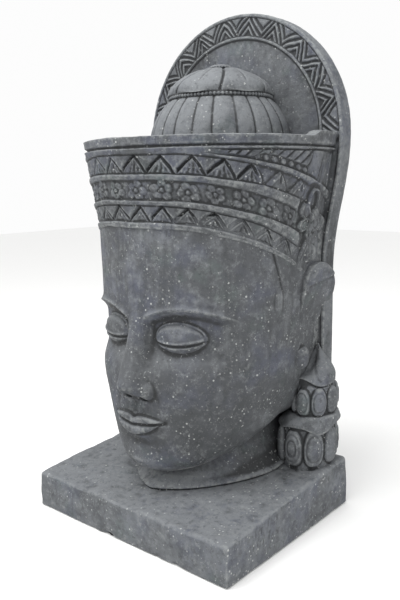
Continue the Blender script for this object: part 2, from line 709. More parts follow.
def side_hair(angles, heights):
    """The lock before each ear, in metres: a fine cut line from the crown, and a small leaf at its end."""
    across = np.abs(np.degrees(angles))
    along = np.clip((0.560 - heights) / 0.095, 0.0, 1.0)
    line = 69.5 + 9.0 * along
    within = ease(0.462, 0.485, heights) * (1.0 - ease(0.565, 0.575, heights))
    lock = 0.0018 * ease(-0.3, 0.9, across - line) * (1.0 - ease(4.0, 12.0, across - line)) * within
    cut = 0.0012 * swell(across - line, 0.45) * within
    leaf = dome((across - 76.0) / 2.8, (heights - 0.449) / 0.025)
    vein = 0.0007 * swell(across - 76.0, 0.45) * ease(0.1, 0.4, leaf)
    return lock - cut + 0.0026 * leaf**0.7 - vein


def head_oval(heights):
    """Half width and depth of the plain head at these heights."""
    head = bpy.context.scene.fountain_head
    stations = (
        (0.00, 0.56, 0.965),
        (0.07, 0.71, 0.990),
        (0.18, 0.83, 1.000),
        (0.34, 0.925, 1.000),
        (0.52, 0.965, 0.993),
        (0.68, 0.980, 0.990),
        (1.05, 1.000, 1.000),
    )
    places, widths, depths = (np.array(column) for column in zip(*stations))
    share = (heights - chin_height()) / head.face_height
    soft = (-0.045, 0.0, 0.045)
    width = sum(np.interp(share + s, places, widths) for s in soft) / len(soft)
    depth = sum(np.interp(share + s, places, depths) for s in soft) / len(soft)
    return width * head.half_width, depth * head.depth


def chin_height():
    return bpy.context.scene.fountain_block.front_height + bpy.context.scene.fountain_head.chin_gap


def ring_from(angles, radius, heights, rear_share):
    """Points round the head: an oval front, and straight sides back into the slab."""
    x = radius * np.sin(angles)
    y = axis_y() - radius * np.cos(angles)
    y = y + (hidden_y() - axis_y()) * rear_share
    return np.stack([x, y, heights + 0.0 * x], axis=-1)


def head_columns(columns):
    """Angle of each column from the front, and how far a rear column lies on its way into the slab."""
    turns = column_turns(columns)
    front = 0.90
    share = np.clip(np.abs(turns) / front, 0.0, 1.0)
    angles = np.sign(turns) * share**1.22 * np.pi / 2
    rear = np.clip((np.abs(turns) - front) / (1.0 - front), 0.0, 1.0)
    return angles, rear


def face_ring(angles, rear, row_z, top_z):
    """One row of the face. Low rows bend up towards the ears, along the jaw."""
    head = bpy.context.scene.fountain_head
    chin = chin_height()
    jaw = chin + head.jaw_rise * (1.0 - np.cos(angles)) ** 1.1
    left = np.clip((top_z - row_z) / (top_z - chin), 0.0, 1.0)
    heights = row_z + (jaw - chin) * left**3
    half_width, depth = head_oval(heights)
    oval = superellipse(angles, half_width, depth, 2.15)
    up = np.clip((heights - jaw) / head.jaw_round, 0.0, 1.0)
    tuck = head.jaw_tuck * (1.0 - np.sqrt(1.0 - (1.0 - up) ** 2))
    eye_width = 2 * head.half_width / 5
    u = np.abs(oval * np.sin(angles)) / eye_width
    v = (heights - chin) / (head.face_height / 3)
    relief = brows(u, v) + eyes(u, v) + nose(u, v) + mouth(u, v) + chin_and_cheeks(u, v)
    relief = relief * eye_width * ease(0.0, 0.4, up) + side_hair(angles, heights)
    radius = (oval - tuck + relief) * (1.0 - 0.03 * rear)
    return ring_from(angles, radius, heights, rear)


def neck_ring(angles, rear, rise, half_width, depth, squareness):
    """A ring of the neck at this rise above the sloping top of the plinth."""
    radius = superellipse(angles, half_width, depth, squareness)
    ring = ring_from(angles, radius, 0.0, rear)
    ring[..., 2] = plinth_top(ring[..., 1]) + rise
    return ring


def carve_head():
    head = bpy.context.scene.fountain_head
    chin = chin_height()
    third = head.face_height / 3
    top_z = bpy.context.scene.fountain_crown.foot_height + EMBED
    angles, rear = head_columns(368)
    rings = []
    # Rise above the plinth, how far the ring stands in at the sides and in front, and its squareness.
    lip = (
        (-EMBED, 0.006, 0.006, 1.50),
        (-0.0015, 0.005, 0.005, 1.50),
        (0.0005, 0.002, 0.002, 1.50),
        (0.0020, 0.001, 0.001, 1.50),
        (0.0045, 0.004, 0.006, 1.51),
        (0.0080, 0.009, 0.013, 1.54),
        (0.0122, 0.015, 0.022, 1.60),
        (0.0170, 0.020, 0.031, 1.68),
    )
    for rise, less_width, less_depth, squareness in lip:
        size = head.foot_width - less_width, head.foot_depth - less_depth
        rings.append(neck_ring(angles, rear, rise, *size, squareness))
    low = rings[-1]
    jaw = face_ring(angles, rear, chin, top_z)
    neck = ring_from(angles, superellipse(angles, head.neck, head.neck, 2.0), jaw[..., 2] + 0.010, rear)
    for share in np.linspace(0.0, 1.0, 15)[1:]:
        inward = 1.0 - (1.0 - share) ** 2.0
        ring = low + (neck - low) * inward
        ring[..., 2] = low[..., 2] + (neck[..., 2] - low[..., 2]) * share
        rings.append(ring)
    for share in np.linspace(0.0, 1.0, 9)[1:-1]:
        ring = neck + (jaw - neck) * share
        ring[..., 2] -= 0.002 * np.sin(np.pi * share)
        rings.append(ring)
    thirds = spaced((0.0, 0.46, 34), (0.46, 0.80, 34), (0.80, 0.95, 12), (0.95, 1.22, 26), (1.22, 1.58, 24),
                    (1.58, 1.92, 36), (1.92, 2.16, 20), (2.16, (top_z - chin) / third, 40))
    for place in thirds:
        rings.append(face_ring(angles, rear, chin + third * place, top_z))
    bm = tube(np.array(rings))
    return finish_piece("head_and_neck", bm, rubbed_stone(), [(0.05, 0.0010, 61), (0.008, 0.0005, 62)])


# Crown

def band_drop(angles, drop):
    """The bands sink towards the ears, slowly at first."""
    return drop * (1.0 - np.cos(angles)) ** 1.4


def hand_spaced(angles, pitch, seed):
    """Which cell of a hand-spaced row each place lies in, and how far along it, from -0.5 to 0.5."""
    place = angles / pitch
    place = place + 0.04 * np.sin(1.3 * place + seed) + 0.02 * np.sin(4.1 * place + 2.0 * seed)
    cell = np.floor(place)
    return cell, place - cell - 0.5


def upright_leaves(across, up, height, width):
    """Broad leaves with a slanting raised edge inside their left side and a cut midrib on their right."""
    share = np.clip(up / height, 0.0, 1.0)
    left = width * (-0.49 + 0.55 * share**1.15)
    right = width * (0.46 - 0.38 * share**2.4)
    inside = np.minimum(0.75 * (across - left), right - across)
    body = 1.10 * ease(0.0, 0.0028, inside)
    ridge = 0.75 * swell(across - left - 0.0095, 0.0020) * ease(0.0, 0.004, inside)
    midrib = 1.00 * swell(across - 0.16 * width, 0.0015) * ease(0.30, 0.50, share) * ease(0.0, 0.003, inside)
    return body + ridge - midrib - 0.50


def pointed_band(angles, up, height, pitch, hearts):
    """Zigzag cuts part smooth hanging triangles from upright ones that hold flames or a nested triangle."""
    radius = bpy.context.scene.fountain_crown.foot_radius
    seed = 1.0 if hearts == "flames" else 4.0
    cell, along = hand_spaced(angles, pitch, seed)
    share = up / height
    side = np.where(np.abs(angles) > 0.0, np.sign(angles), 1.0)
    across = along * pitch * radius - side * 0.16 * (up - 0.5 * height)
    across = across + 0.0009 * lumps(np.stack([angles * radius, up, 0.0 * up], axis=-1), 0.009, 18)
    apex = 0.92 + 0.06 * np.sin(2.7 * cell + seed)
    slope = 1.85 * height / (pitch * radius)
    bow = 0.0014 * np.sin(np.pi * share)
    edge = height * apex - slope * np.abs(across)
    off = (edge - up) / np.sqrt(1.0 + slope**2) + bow
    hanging = 0.85 * ease(0.0006, 0.0034, -off) + 0.25 * strip(-off, 0.0018, 0.0042, 0.0012)
    upright = 0.40 * ease(0.0004, 0.0024, off) + 0.40 * strip(off, 0.0014, 0.0046, 0.0010)
    if hearts == "flames":
        fan = across / (1.25 - share)
        flame = 0.5 + 0.5 * np.cos(2 * np.pi * fan / 0.0078 + 0.8 * np.sin(9.0 * share + cell))
        grains = 0.25 * lumps(np.stack([angles * radius, up, np.zeros_like(up)], axis=-1), 0.0032, 17)
        upright = upright + (0.60 * flame + grains) * ease(0.0048, 0.0068, off) * ease(0.0, 0.004, up)
    else:
        upright = upright + 0.55 * ease(0.0066, 0.0084, off) * ease(0.002, 0.006, up)
        upright = upright - 0.45 * swell(across, 0.0016) * ease(0.0088, 0.0104, off)
    # The cut on the head's right of each upright triangle is the deep one.
    deep = 1.70 * swell(off + 0.0012, 0.0022 + 0.0018 * share) * ease(0.05, 0.30, share)
    cut = np.where(across < 0.0, deep + 0.55 * swell(off, 0.0014), 0.70 * swell(off, 0.0015))
    ends = ease(0.0002, 0.0024, up) * ease(0.0002, 0.0024, height - up)
    front = (hanging + upright) * ends - cut - 0.30
    broad = upright_leaves(along * pitch * radius, up, height, pitch * radius) * ends
    aside = ease(58.0, 62.0, np.abs(np.degrees(angles))) if hearts == "flames" else 0.0
    return front + (broad - front) * aside


def flower_band(angles, up, height, pitch):
    """A row of five-petalled flowers with cupped petals and a boss, on a dull ground."""
    radius = bpy.context.scene.fountain_crown.foot_radius
    cell, along = hand_spaced(angles, pitch, 2.5)
    across = along * pitch * radius
    rise = up - height * (0.5 + 0.04 * np.sin(2.2 * cell))
    across = across / 1.08
    turn = np.arctan2(rise, across) + 1.9 * np.sin(3.3 * cell)
    uneven = 1.0 + 0.06 * np.sin(4.7 * cell) + 0.09 * np.sin(3.0 * turn + 2.0 * cell)
    reach = np.hypot(across, rise) * uneven
    fifth = 2 * np.pi / 5
    local = turn - np.rint(turn / fifth) * fifth
    out = reach * np.cos(local) - 0.0112
    aside = reach * np.sin(local)
    petal = dome(out / 0.0078, aside / 0.0082) ** 0.70
    petal = petal - 0.40 * swell(np.hypot(out + 0.0010, 1.3 * aside), 0.0034)
    petal = petal + 0.16 * lumps(np.stack([angles * radius, up, 0.0 * up], axis=-1), 0.0042, 15)
    boss = 1.10 * np.sqrt(dome(reach / 0.0044, 0.0))
    ring = 0.15 * strip(reach, 0.0050, 0.0068, 0.0010)
    return np.maximum(petal, boss) * 1.20 - ring - 0.45


def leaf_wedge(angles, up, height):
    """Slanting leaflets over a row of seeds, one large smooth leaf, and narrow blades beside the slab."""
    radius = bpy.context.scene.fountain_crown.top_radius
    turn = np.abs(np.degrees(angles))
    degree = radius * np.pi / 180.0
    share = np.clip(up / np.maximum(height, 1e-4), 0.0, 1.0)

    def count_leaflets(along):
        """Leaflets from 50 degrees on, 16 mm apart there and 21 mm apart at 88 degrees."""
        first, growth = 0.016, 0.005 / (38.0 * degree)
        return np.log(np.maximum(1.0 + growth * (along - 50.0 * degree) / first, 0.05)) / growth

    def ridge_of(place, sharpness):
        within = place - np.floor(place) - 0.5
        return np.sqrt(np.clip(1.0 - np.abs(sharpness * within) ** 2.4, 0.0, 1.0))

    along = turn * degree
    leaflets = 1.25 * ridge_of(count_leaflets(along - 1.05 * up), 2.05)
    seed_place = count_leaflets(along)
    seed_across = (seed_place - np.floor(seed_place) - 0.5) * 0.019
    seeds = 1.25 * np.sqrt(dome(seed_across / 0.0062, (up - 0.0066) / 0.0060))
    room = ease(0.016, 0.022, height)
    foot = 0.0014 + 0.0110 * room
    leaflets = leaflets * ease(foot, foot + 0.003, up)
    carved = np.maximum(leaflets, seeds * room)
    # The large leaf leans back as it rises, and the blades beyond it stand upright.
    lean = turn - 88.0 - 3.0 * share
    within = np.clip(1.0 - (np.abs(lean - 4.6) / 5.2) ** 3.0, 0.0, 1.0)
    leaf = 1.35 * np.sqrt(within) * ease(0.0, 0.10, share)
    carved = np.where(lean > -0.6, leaf, carved)
    bent = turn + 0.9 * np.sin(3.0 * share + 0.4 * turn)
    blades = 1.10 * ridge_of((bent - 98.0) / 2.7, 1.95) * (0.75 + 0.25 * np.sin(11.0 * share + turn))
    carved = np.where(lean > 9.8, blades, carved)
    grown = ease(43.0, 50.0, turn)
    return grown * (carved * ease(0.0005, 0.003, height - up) - 0.45)


def side_flower(angles, heights):
    """The large flower over each ear. Gives its relief, and the share of the ground that it clears."""
    radius = bpy.context.scene.fountain_crown.foot_radius
    across = (np.abs(angles) - math.radians(96.0)) * radius
    up = heights - 0.598
    relief = np.zeros_like(across)
    # Direction in degrees from the right, length, half width and share of the petal that is hollow.
    petals = ((84.0, 0.054, 0.0200, 1.0), (-28.0, 0.036, 0.0155, 0.35), (20.0, 0.027, 0.0120, 0.25),
              (150.0, 0.038, 0.0140, 0.35), (-150.0, 0.038, 0.0135, 0.35), (-92.0, 0.028, 0.0125, 0.25))
    for direction, reach, half, hollow in petals:
        turn = math.radians(direction)
        out = across * math.cos(turn) + up * math.sin(turn) - 0.5 * reach - 0.003
        aside = -across * math.sin(turn) + up * math.cos(turn) + 0.10 * out
        inside = np.clip(1.0 - np.abs(out / (0.5 * reach)) ** 2.6 - np.abs(aside / half) ** 2.4, 0.0, 1.0)
        petal = 2.0 * np.sqrt(inside) - 2.2 * hollow * ease(0.48, 0.80, inside)
        relief = np.maximum(relief, np.where(inside > 0, petal, 0.0))
    boss = np.hypot(across, up)
    relief = np.maximum(relief, 2.3 * np.sqrt(dome(boss / 0.0085, 0.0)))
    for foot, head in (((0.017, -0.086), (-0.004, -0.030)), ((-0.021, -0.078), (0.005, -0.034))):
        ribbon = capsule(across, up, head, foot)
        band = 1.6 * np.sqrt(dome(ribbon / 0.0085, 0.0)) - 0.6 * swell(ribbon, 0.0018)
        relief = np.maximum(relief, np.where(ribbon < 0.0085, band, 0.0))
    relief = 1.25 * relief
    cleared = 1.0 - ease(0.040, 0.050, np.hypot(across, 0.85 * (up - 0.012)))
    ribbons = (1.0 - ease(0.026, 0.034, np.abs(across))) * strip(up, -0.088, 0.0, 0.006)
    return relief, np.maximum(cleared, ribbons)


CROWN_ROWS = (
    ("under", 3),
    ("foot", 8),
    ("lower", 21),
    ("lower_fillet", 7),
    ("flower", 26),
    ("middle_fillet", 7),
    ("upper", 25),
    ("upper_fillet", 5),
    ("leaves", 30),
    ("top_fillet", 6),
    ("groove", 2),
    ("plain", 8),
    ("lip", 7),
    ("inside", 6),
)


def crown_bands(crown):
    """Lower and upper edge of each band in front, with its drop at either edge."""
    foot_drop, flower_drop, upper_drop, leaf_drop = 0.084, 0.067, 0.053, 0.045
    rows = (
        ("foot", 0.0125, foot_drop, foot_drop),
        ("lower", 0.0285, foot_drop, foot_drop),
        ("lower_fillet", 0.0095, foot_drop, flower_drop),
        ("flower", 0.0345, flower_drop, flower_drop),
        ("middle_fillet", 0.0100, flower_drop, upper_drop),
        ("upper", 0.0335, upper_drop, upper_drop),
        ("upper_fillet", 0.0040, upper_drop, leaf_drop),
        ("leaves", 0.0014, leaf_drop, 0.0),
        ("top_fillet", 0.0056, 0.0, 0.0),
        ("groove", 0.0022, 0.0, 0.0),
    )
    bands = {}
    low = crown.foot_height
    for name, height, low_drop, high_drop in rows:
        bands[name] = (low, low + height, low_drop, high_drop)
        low += height
    bands["plain"] = (low, crown.top_height - 0.003, 0.0, 0.0)
    return bands


def half_round(share):
    """Height of a worn moulding across its width, from 0 to 1; its upper edge stands out most."""
    return (1.0 - np.clip(np.abs(2.0 * share - 1.0), 0.0, 1.0) ** 4.0) ** 0.6 * (0.72 + 0.28 * share)


def crown_lift(name, angles, up, height, heights, joined):
    """How far a band's surface stands off the plain cone, in metres.

    The fillets above the upper band are one in front: joined is the share of the way up that one.
    """
    crown = bpy.context.scene.fountain_crown
    turn = np.abs(np.degrees(angles))
    fade = 1.0 - ease(101.0, 106.0, turn)
    share = up / np.maximum(height, 1e-6)
    round_place = np.stack([angles * crown.foot_radius, heights, np.zeros_like(angles)], axis=-1)
    wear = 0.86 + 0.30 * lumps(round_place, 0.045, 19)
    wear = wear - 0.22 * np.clip(lumps(round_place, 0.0065, 20) + 0.1, 0.0, 1.0)
    relief = crown.relief * fade * wear
    if name == "groove":
        return np.full_like(up, -0.0022)
    if name == "plain":
        return 0.0020 * ease(0.0, 0.20, share)
    if name == "lower":
        carved = relief * pointed_band(angles, up, height, crown.lower_pitch, "nested")
    elif name == "upper":
        carved = relief * pointed_band(angles, up, height, crown.upper_pitch, "flames")
    elif name == "flower":
        carved = relief * flower_band(angles, up, height, crown.flower_pitch)
    elif name == "leaves":
        carved = relief * leaf_wedge(angles, up, height)
    else:
        carved = crown.fillet * half_round(share)
    if name in ("upper_fillet", "leaves", "top_fillet"):
        carved = carved + (crown.fillet * half_round(joined) - carved) * (1.0 - ease(34.0, 47.0, turn))
    if name != "top_fillet":
        flower, cleared = side_flower(angles, heights)
        carved = carved * (1.0 - cleared) + cleared * crown.relief * (flower - 0.45)
        carved = carved - 0.0018 * swell(turn - 109.5, 0.6) - 0.0008 * ease(106.0, 109.0, turn)
    return carved


def crown_radius(heights):
    crown = bpy.context.scene.fountain_crown
    share = (heights - crown.foot_height) / (crown.top_height - crown.foot_height)
    return crown.foot_radius + (crown.top_radius - crown.foot_radius) * share


def crown_across(angles):
    """Share of the radius that the crown reaches sideways: round in front, fuller behind the ears."""
    ahead = np.cos(angles)
    power = np.where(ahead > 0.0, 2.0, 2.4)
    return np.sign(angles) * (1.0 - np.abs(ahead) ** power) ** (1.0 / power)


def crown_ring(angles, heights, lift):
    """Points round the crown at these heights, lifted off its surface."""
    radius = crown_radius(heights) + lift
    y = axis_y() - radius * np.cos(angles)
    return np.stack([radius * crown_across(angles), y, heights + 0.0 * angles], axis=-1)


def carve_crown():
    crown = bpy.context.scene.fountain_crown
    bands = crown_bands(crown)
    reach = math.acos(-(hidden_y() - axis_y()) / crown.top_radius)
    columns = 604
    angles = column_turns(columns) * reach
    turn = np.abs(np.degrees(angles))
    step = crown.step * ease(88.0, 96.0, turn)
    top_z = crown.foot_height + EMBED
    half = 0.5 * crown.foot_radius
    y = axis_y() - half * np.cos(angles)
    rings = [np.stack([half * np.sin(angles), y, np.full_like(angles, top_z)], axis=-1)]
    edges = {}
    for line, (name, (low, high, low_drop, high_drop)) in enumerate(bands.items()):
        # The falling bands are cut by eye, and the level ones under the rim nearly true.
        low_stray = 0.0011 if line < 8 else 0.0004
        high_stray = 0.0011 if line < 7 else 0.0004
        low_z = low - band_drop(angles, low_drop) + wander(angles, line, low_stray)
        high_z = high - band_drop(angles, high_drop) + wander(angles, line + 1, high_stray)
        edges[name] = (low_z, high_z)
    for name, count in CROWN_ROWS:
        for index in range(count):
            share = (index + 0.5) / count
            if name == "under":
                heights = edges["foot"][0] + 0.0004
                rings.append(crown_ring(angles, heights, -0.014 * (1.0 - share)))
            elif name == "lip":
                bend = math.pi * share
                middle = crown.top_height - 0.003 + step + wander(angles, 12, 0.0006)
                heights = middle + 0.003 * math.sin(bend)
                inset = 0.0 if share < 0.5 else crown.wall
                if 0.2 < share < 0.8:
                    inset = crown.wall * (0.5 - 0.5 * math.cos(bend))
                rings.append(crown_ring(angles, heights, 0.002 - inset - (0.002 if share > 0.5 else 0.0)))
            elif name == "inside":
                floor_z = crown.top_height - crown.basin
                heights = (crown.top_height + step) * (1.0 - share) + floor_z * share
                radius = crown.top_radius - crown.wall
                y = np.minimum(axis_y() - radius * np.cos(angles), hidden_y() - EMBED / 2)
                rings.append(np.stack([radius * crown_across(angles), y, heights], axis=-1))
            else:
                low_z, high_z = edges[name]
                if name == "plain":
                    high_z = high_z + step
                height = high_z - low_z
                up = height * share
                heights = low_z + up
                joined_low, joined_high = edges["upper_fillet"][0], edges["top_fillet"][1]
                joined = (heights - joined_low) / (joined_high - joined_low)
                lift = crown_lift(name, angles, up, height, heights, joined)
                rings.append(crown_ring(angles, heights, lift))
    floor = rings[-1].copy()
    floor[..., 2] = crown.top_height - crown.basin
    rings.append(floor)
    bm = tube(np.array(rings))
    return finish_piece("crown", bm, rubbed_stone(), [(0.03, 0.0009, 71), (0.0055, 0.0008, 72)])


# Slab

def slab_outline(side_points, arch_points):
    """Right side from the foot up, the arch and the left side down, and each point's middle height."""
    block = bpy.context.scene.fountain_block
    foot_z = block.front_height - EMBED
    z = np.linspace(foot_z, block.arch_height, side_points, endpoint=False)
    widening = ease(block.widen_height, block.arch_height - 0.01, z)
    half = block.slab_foot + (block.arch_radius - block.slab_foot) * widening
    turn = np.linspace(0.0, np.pi, arch_points)
    arch_x = block.arch_radius * np.cos(turn)
    arch_z = block.arch_height + block.arch_radius * np.sin(turn)
    x = np.concatenate([half, arch_x, -half[::-1]])
    outline_z = np.concatenate([z, arch_z, z[::-1]])
    spine_z = np.concatenate([z, np.full(arch_points, block.arch_height), z[::-1]])
    return x, outline_z, spine_z


def zigzag(x, z):
    """Double zigzags round the arch, points outwards, in metres off the sunk ground."""
    block = bpy.context.scene.fountain_block
    out = np.hypot(x, z - block.arch_height)
    turn = np.arctan2(x, z - block.arch_height)
    inner = block.arch_radius - block.rim - block.band
    pitch = math.pi / ZIGZAGS
    place = turn / pitch
    place = place + 0.03 * np.sin(4.3 * place) + 0.02 * np.sin(9.1 * place + 1.0)
    cell = np.floor(place)
    along = np.abs(place - cell - 0.5) * pitch * (inner + 0.5 * block.band)
    up = out - inner
    slope = 1.06 * block.band / (0.5 * pitch * (inner + 0.5 * block.band))
    off = (block.band - slope * along - up) / math.sqrt(1.0 + slope**2)
    off = off + 0.0010 * lumps(np.stack([x, z, 0.0 * x], axis=-1), 0.014, 84)
    outline = strip(off, 0.0008, 0.0058, 0.0015)
    nested = 0.85 * strip(off, 0.0100, 0.0148, 0.0015)
    hanging = 0.85 * strip(-off, 0.0036, 0.0084, 0.0015)
    heart = 0.6 * ease(0.0118, 0.0140, -off)
    relief = block.relief * np.maximum.reduce([outline, nested, hanging, heart])
    return relief * strip(up, 0.0010, block.band - 0.0010, 0.0008) * ease(-0.01, 0.0, z - block.arch_height)


def slab_face(x, z, inset):
    """Depth of the slab's front behind its rim: rim, sunk zigzag band, ring and field."""
    block = bpy.context.scene.fountain_block
    sunk = 0.0035
    inset = inset + 0.0 * x
    arch = ease(-0.030, -0.010, z - block.arch_height)
    band_end = block.rim + block.band
    band = strip(inset, block.rim, band_end, 0.0009) * arch
    field = ease(band_end + block.ring - 0.0009, band_end + block.ring + 0.0009, inset)
    plain = ease(block.rim - 0.0009, block.rim + 0.0009, inset) * (1.0 - arch)
    depth = sunk * np.maximum.reduce([band, field, plain * 0.6])
    return depth - zigzag(x, z) * band


def carve_slab():
    block = bpy.context.scene.fountain_block
    x, z, spine_z = slab_outline(62, 432)
    far = np.hypot(x, z - spine_z)
    rear = block.depth / 2 - SLAB_REAR_INSET
    front = slab_front()
    edge = 0.004
    rings = []

    def ring(inset, y):
        share = np.minimum(inset / far, 1.0)
        return np.stack([x * (1.0 - share), y + 0.0 * x, z + (spine_z - z) * share], axis=-1)

    def rounding(turn):
        return edge * (1.0 - math.sin(turn)), edge * (1.0 - math.cos(turn))

    for share in np.linspace(1.0, 0.02, 24):
        rings.append(ring(edge + (far - edge) * share, rear))
    for turn in np.linspace(0.0, math.pi / 2, 4):
        inset, back = rounding(turn)
        rings.append(ring(inset + 0.0 * far, rear - back))
    for share in np.linspace(0.0, 1.0, 16)[1:-1]:
        rings.append(ring(0.0 * far, rear - edge + (front - rear + 2 * edge) * share))
    for turn in np.linspace(math.pi / 2, 0.0, 4):
        inset, back = rounding(turn)
        rings.append(ring(inset + 0.0 * far, front + back))
    start = edge + 0.0014
    band_end = block.rim + block.band + block.ring + 0.004
    for inset in np.linspace(start, band_end, 34):
        flat = ring(inset + 0.0 * far, front)
        flat[..., 1] += slab_face(flat[..., 0], flat[..., 2], inset)
        rings.append(flat)
    for share in np.linspace(0.0, 1.0, 24)[1:]:
        inset = band_end + (far - band_end) * share
        flat = ring(inset, front)
        flat[..., 1] += slab_face(flat[..., 0], flat[..., 2], inset)
        rings.append(flat)
    bm = tube(np.array(rings), closed_ends=False)
    return finish_piece("slab", bm, chiselled_stone(), [(0.06, 0.0010, 81), (0.007, 0.0006, 82)], merge=True)


# Topknot

def petal_cap(angles, radius, share):
    """Broad soft petals that point up the cap: relief in metres, and a share of their edge's hang."""
    knot = bpy.context.scene.fountain_knot
    pitch = 2 * np.pi / knot.petals
    place = (angles - math.radians(38.0) - 0.22 * share) / pitch
    place = place + 0.05 * np.sin(1.7 * place)
    along = place - np.floor(place) - 0.5
    inside = (0.5 - np.abs(along)) * radius * pitch
    body = 0.75 * ease(0.0, 0.0045, inside) + 0.25 * ease(0.0, 0.020, inside)
    midrib = 0.0014 * swell(along * radius, 0.0022) * ease(0.10, 0.30, share)
    relief = 0.0058 * body * (1.0 - ease(0.70, 1.0, share)) - midrib * (1.0 - ease(0.65, 0.90, share))
    hang = np.cos(2 * np.pi * along) * (1.0 - share) ** 5
    return relief, hang


def bead_ring(angles, across, count, half):
    """A row of round beads of half this width across."""
    place = angles / (2 * np.pi / count)
    along = 2.0 * (place - np.floor(place) - 0.5)
    return np.sqrt(dome(along * 0.96, across / half))


def carve_topknot():
    knot = bpy.context.scene.fountain_knot
    crown = bpy.context.scene.fountain_crown
    centre_y = slab_front() - knot.slab_gap
    angles = column_turns(440) * np.pi
    belly_z = crown.top_height - 0.010
    fall = math.sqrt(1.0 - (knot.ring_radius / knot.radius) ** 2)
    height = (knot.ring_height - 0.004 - belly_z) / fall
    rings = []

    def ring(radius, z):
        y = centre_y - radius * np.cos(angles)
        return np.stack([radius * np.sin(angles), y, z + 0.0 * angles], axis=-1)

    place = angles / (2 * np.pi / knot.ribs)
    place = place + 0.07 * np.sin(1.3 * place) + 0.05 * np.sin(3.1 * place + 1.0)
    along = 2.0 * (place - np.floor(place) - 0.5)
    rib = np.sqrt(np.clip(1.0 - np.abs(0.985 * along) ** 2.6, 0.0, 1.0)) - 1.0
    foot_z = crown.top_height - crown.basin - EMBED
    for z in spaced((foot_z, belly_z, 26), (belly_z, knot.ring_height - 0.006, 54)):
        out = math.sqrt(max(1.0 - (max(z - belly_z, 0.0) / height) ** 2, 0.0))
        rings.append(ring(knot.radius * out + knot.groove * rib - 0.0006, z))
    for turn in np.linspace(-0.45 * math.pi, 0.45 * math.pi, 10):
        across = 0.0042 * math.sin(turn)
        bead = 0.0036 * bead_ring(angles, across, ROPE_BEADS, 0.0042)
        rings.append(ring(knot.ring_radius - 0.001 + bead, knot.ring_height - 0.001 + across))
    cap_low, cap_high = knot.ring_height + 0.0045, knot.top_height - 0.012
    tip = 0.028
    for share in np.linspace(0.0, 1.0, 62):
        bend = 0.5 * math.pi * share
        radius = tip + (knot.ring_radius - 0.003 - tip) * math.cos(bend) ** 1.9
        z = cap_low + (cap_high - cap_low) * math.sin(bend) ** 0.95
        relief, hang = petal_cap(angles, np.full_like(angles, radius), share)
        outward = ring(radius + relief * math.cos(bend) + 0.0020 * hang, z)
        outward[..., 2] += relief * math.sin(bend) - 0.0030 * hang
        rings.append(outward)
    for turn in np.linspace(-0.4 * math.pi, 0.4 * math.pi, 7):
        across = 0.0030 * math.sin(turn)
        bead = 0.0030 * bead_ring(angles, across, TOP_ROPE_BEADS, 0.0030)
        rings.append(ring(0.0245 + bead, cap_high + 0.0035 + across))
    boss_low = cap_high + 0.0065
    for share in np.linspace(0.0, 1.0, 9)[:-1]:
        bend = 0.5 * math.pi * share
        rings.append(ring(0.0225 * math.cos(bend), boss_low + (knot.top_height - boss_low) * math.sin(bend)))
    bm = tube(np.array(rings))
    everything = bm.verts[:] + bm.edges[:] + bm.faces[:]
    plane = {"plane_co": (0.0, hidden_y(), 0.0), "plane_no": (0.0, 1.0, 0.0)}
    cut = bmesh.ops.bisect_plane(bm, geom=everything, clear_outer=True, **plane)
    edges = [item for item in cut["geom_cut"] if isinstance(item, bmesh.types.BMEdge)]
    bmesh.ops.holes_fill(bm, edges=edges, sides=0)
    return finish_piece("topknot", bm, dry_stone(), [(0.04, 0.0010, 91), (0.007, 0.0006, 92)])


# Ears and earrings

def ear_outline(columns):
    """The ear from the side, in Y and Z: a round top that narrows to a long lobe."""
    ears = bpy.context.scene.fountain_ears
    top_y, top_z = slab_front() - EAR_TOP_AHEAD, ears.top_height - ears.half_height
    lobe_y = slab_front() - LOBE_AHEAD
    upper = np.radians(np.linspace(-20.0, 200.0, 60))
    lower = np.radians(np.linspace(180.0, 360.0, 30))
    radius = ears.lobe_radius
    y = np.concatenate([top_y + ears.half_depth * np.cos(upper), lobe_y + radius * np.cos(lower)])
    z = np.concatenate([top_z + ears.half_height * np.sin(upper), ears.lobe_height + radius * np.sin(lower)])
    y, z = np.append(y, y[0]), np.append(z, z[0])
    run = np.concatenate([[0.0], np.cumsum(np.hypot(np.diff(y), np.diff(z)))])
    places = np.arange(columns) * run[-1] / columns
    y, z = np.interp(places, run, y), np.interp(places, run, z)
    for _ in range(10):
        y = (np.roll(y, 1) + 2 * y + np.roll(y, -1)) / 4
        z = (np.roll(z, 1) + 2 * z + np.roll(z, -1)) / 4
    return y, z, (top_y, top_z - 0.006), (lobe_y, ears.lobe_height)


def ear_height(y, z, inset):
    """How far the ear's outer face stands out: a thick cap over a flat plane, a lobe and a slit."""
    ears = bpy.context.scene.fountain_ears
    rise = ease(ears.lobe_height + 0.04, ears.top_height - 0.035, z)
    plane = ears.out_lobe - 0.0070 + (ears.out_top - ears.out_lobe) * rise
    cap_foot = ears.top_height - 0.034 + 0.12 * (y - slab_front() + EAR_TOP_AHEAD)
    cap = ease(-0.006, 0.005, z - cap_foot)
    roll = 0.0075 * cap * ease(0.001, 0.010, inset) * (1.0 - 0.35 * ease(0.0, ears.cap, inset))
    edge = 0.0045 * (1.0 - np.sqrt(np.clip(inset / 0.008, 0.0, 1.0)))
    lobe_y = slab_front() - LOBE_AHEAD
    drop = np.sqrt(dome((y - lobe_y - 0.002) / 0.0225, (z - ears.lobe_height - 0.001) / 0.0250))
    stem = swell(capsule(y, z, (lobe_y, ears.lobe_height + 0.02), (lobe_y - 0.004, 0.400)), 0.012)
    slit = swell(capsule(y, z, (lobe_y + 0.031, 0.374), (lobe_y + 0.027, 0.358)), 0.0034)
    curl = swell(capsule(y, z, (lobe_y + 0.038, 0.386), (lobe_y + 0.040, 0.366)), 0.0042)
    return plane + roll - edge + 0.0150 * drop + 0.0045 * stem - 0.0045 * slit + 0.0030 * curl


